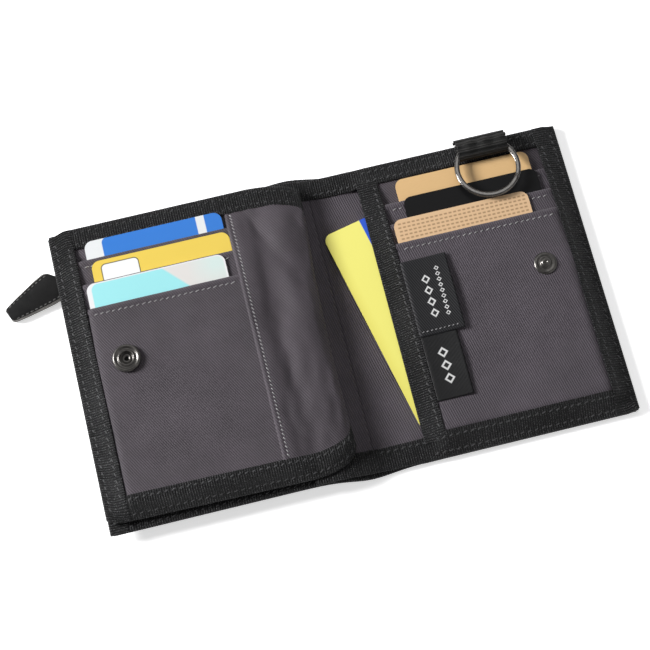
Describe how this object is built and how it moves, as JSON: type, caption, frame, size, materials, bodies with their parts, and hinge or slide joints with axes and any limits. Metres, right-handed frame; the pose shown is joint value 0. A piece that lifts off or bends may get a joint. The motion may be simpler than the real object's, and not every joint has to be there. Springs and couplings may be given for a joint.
{
  "type": "bifold wallet",
  "caption": "Open bifold wallet in black nylon with card pockets, zipped coin pocket, snap closure, split ring on a webbing loop and loose cards.",
  "frame": {"origin": "centre of the right half's underside, on the plane that the open wallet lies on", "axes": "+X across the open wallet from the coin pocket half to the ring half, +Y up the page towards the card openings, +Z away from the table"},
  "size_m": [0.2262, 0.1204, 0.0152],
  "materials": {
    "outer_nylon": "tightly woven black nylon",
    "lining_twill": "purplish grey nylon twill with a soft sheen",
    "binding_tape": "black ribbed nylon tape with two rows of black stitches",
    "webbing": "black ribbed nylon webbing",
    "woven_label": null,
    "zipper_tape": "black knitted zipper tape",
    "zipper_coil": "black nylon coil",
    "zipper_metal": "dark plated zinc alloy",
    "snap_gunmetal": "antiqued gunmetal plating",
    "ring_nickel": "polished dark nickel",
    "pull_leather": "smooth black leather with pale cut edges",
    "card_blue": "blue card with white bands",
    "card_yellow": "yellow card with a plain white patch",
    "card_mint": "mint card with a white rim",
    "card_gold": "matt gold card",
    "card_black": "black card",
    "card_tan": "tan card with a basket weave pattern",
    "card_lemon": "lemon yellow card",
    "card_royal": "royal blue card"
  },
  "bodies": {
    "right_half": {"shell_right": "outer_nylon", "right_lining": "lining_twill", "card_panel_back": "lining_twill", "card_panel_binding": "binding_tape", "binding_right_top": "binding_tape", "binding_right_bottom": "binding_tape", "binding_right_side": "binding_tape", "right_card_pocket_1": "lining_twill", "right_card_pocket_2": "lining_twill", "right_card_pocket_3": "lining_twill", "label_upper": "woven_label", "label_lower": "woven_label", "snap_stud": "snap_gunmetal", "snap_stud_rivet": "snap_gunmetal"},
    "spine": {"spine_strip": "outer_nylon", "gutter_lining": "lining_twill", "spine_binding_top": "binding_tape", "spine_binding_bottom": "binding_tape"},
    "left_half": {"shell_left": "outer_nylon", "shell_binding_top": "binding_tape", "shell_binding_bottom": "binding_tape", "shell_binding_side": "binding_tape", "note_gusset_side": "outer_nylon", "note_gusset_bottom": "outer_nylon", "page_lining": "lining_twill", "page_binding_top": "binding_tape", "page_binding_bottom": "binding_tape", "page_binding_side": "binding_tape", "left_card_pocket_1": "lining_twill", "left_card_pocket_2": "lining_twill", "left_card_pocket_3": "lining_twill", "snap_socket": "snap_gunmetal", "snap_socket_rivet": "snap_gunmetal", "coin_pocket_back": "lining_twill", "coin_pocket_face": "outer_nylon", "coin_pocket_top_face": "outer_nylon", "zipper_tape_lower": "zipper_tape", "zipper_tape_upper": "zipper_tape", "zipper_coil_lower": "zipper_coil", "zipper_coil_upper": "zipper_coil", "zipper_stops": "zipper_metal"},
    "slider": {"zipper_slider": "zipper_metal"},
    "bail": {"pull_bail": "zipper_metal"},
    "pull": {"pull_leather_outer": "pull_leather", "pull_leather_inner": "pull_leather"},
    "loop": {"webbing_loop": "webbing"},
    "ring": {"key_ring": "ring_nickel"},
    "left_card_1_body": {"left_card_1": "card_blue"},
    "left_card_2_body": {"left_card_2": "card_yellow"},
    "left_card_3_body": {"left_card_3": "card_mint"},
    "right_card_1_body": {"right_card_1": "card_gold"},
    "right_card_2_body": {"right_card_2": "card_black"},
    "right_card_3_body": {"right_card_3": "card_tan"},
    "loose_card_front_body": {"loose_card_front": "card_lemon"},
    "loose_card_rear_body": {"loose_card_rear": "card_royal"}
  },
  "joints": [
    {"name": "fold_right", "type": "hinge", "parent": "right_half", "child": "spine", "pos_m": [-0.04642, 0, 0.0007], "axis": [0, 1, 0], "range_deg": [0, 75]},
    {"name": "fold_left", "type": "hinge", "parent": "spine", "child": "left_half", "pos_m": [-0.06458, 0, 0.00557], "axis": [0, 1, 0], "range_deg": [0, 105]},
    {"name": "zipper_run", "type": "slide", "parent": "left_half", "child": "slider", "axis": [1, 0, 0], "range_m": [0, 0.068]},
    {"name": "pull_flip", "type": "hinge", "parent": "slider", "child": "bail", "pos_m": [-0.148, 0.045, 0.0016], "axis": [0, 1, 0], "range_deg": [-175, 0]},
    {"name": "pull_swing", "type": "hinge", "parent": "bail", "child": "pull", "pos_m": [-0.152, 0.045, 0.0016], "axis": [0, 0, 1], "range_deg": [-46, 8]},
    {"name": "ring_lift", "type": "hinge", "parent": "right_half", "child": "loop", "pos_m": [0.0154, 0.0604, 0.0049], "axis": [-1, 0, 0], "range_deg": [0, 170]},
    {"name": "ring_turn", "type": "hinge", "parent": "loop", "child": "ring", "pos_m": [0.0154, 0.04655, 0.00893], "axis": [0, 0.0872, 0.9962], "continuous": true},
    {"name": "left_card_1_slide", "type": "slide", "parent": "left_half", "child": "left_card_1_body", "axis": [0, 1, 0], "range_m": [0, 0.07]},
    {"name": "left_card_2_slide", "type": "slide", "parent": "left_half", "child": "left_card_2_body", "axis": [0, 1, 0], "range_m": [0, 0.07]},
    {"name": "left_card_3_slide", "type": "slide", "parent": "left_half", "child": "left_card_3_body", "axis": [0, 1, 0], "range_m": [0, 0.07]},
    {"name": "right_card_1_slide", "type": "slide", "parent": "right_half", "child": "right_card_1_body", "axis": [0, 1, 0], "range_m": [0, 0.006]},
    {"name": "right_card_2_slide", "type": "slide", "parent": "right_half", "child": "right_card_2_body", "axis": [0, 1, 0], "range_m": [0, 0.0075]},
    {"name": "right_card_3_slide", "type": "slide", "parent": "right_half", "child": "right_card_3_body", "axis": [0, 1, 0], "range_m": [0, 0.007]},
    {"name": "loose_card_front_slide", "type": "slide", "parent": "right_half", "child": "loose_card_front_body", "axis": [1, 0, 0], "range_m": [0, 0.022]},
    {"name": "loose_card_rear_slide", "type": "slide", "parent": "right_half", "child": "loose_card_rear_body", "axis": [1, 0, 0], "range_m": [0, 0.015]}
  ],
  "couplings": [
    {"joint": "fold_left", "follows": "fold_right", "ratio": 1.4},
    {"joint": "loose_card_front_slide", "follows": "fold_right", "m_per_rad": 0.016043}
  ]
}
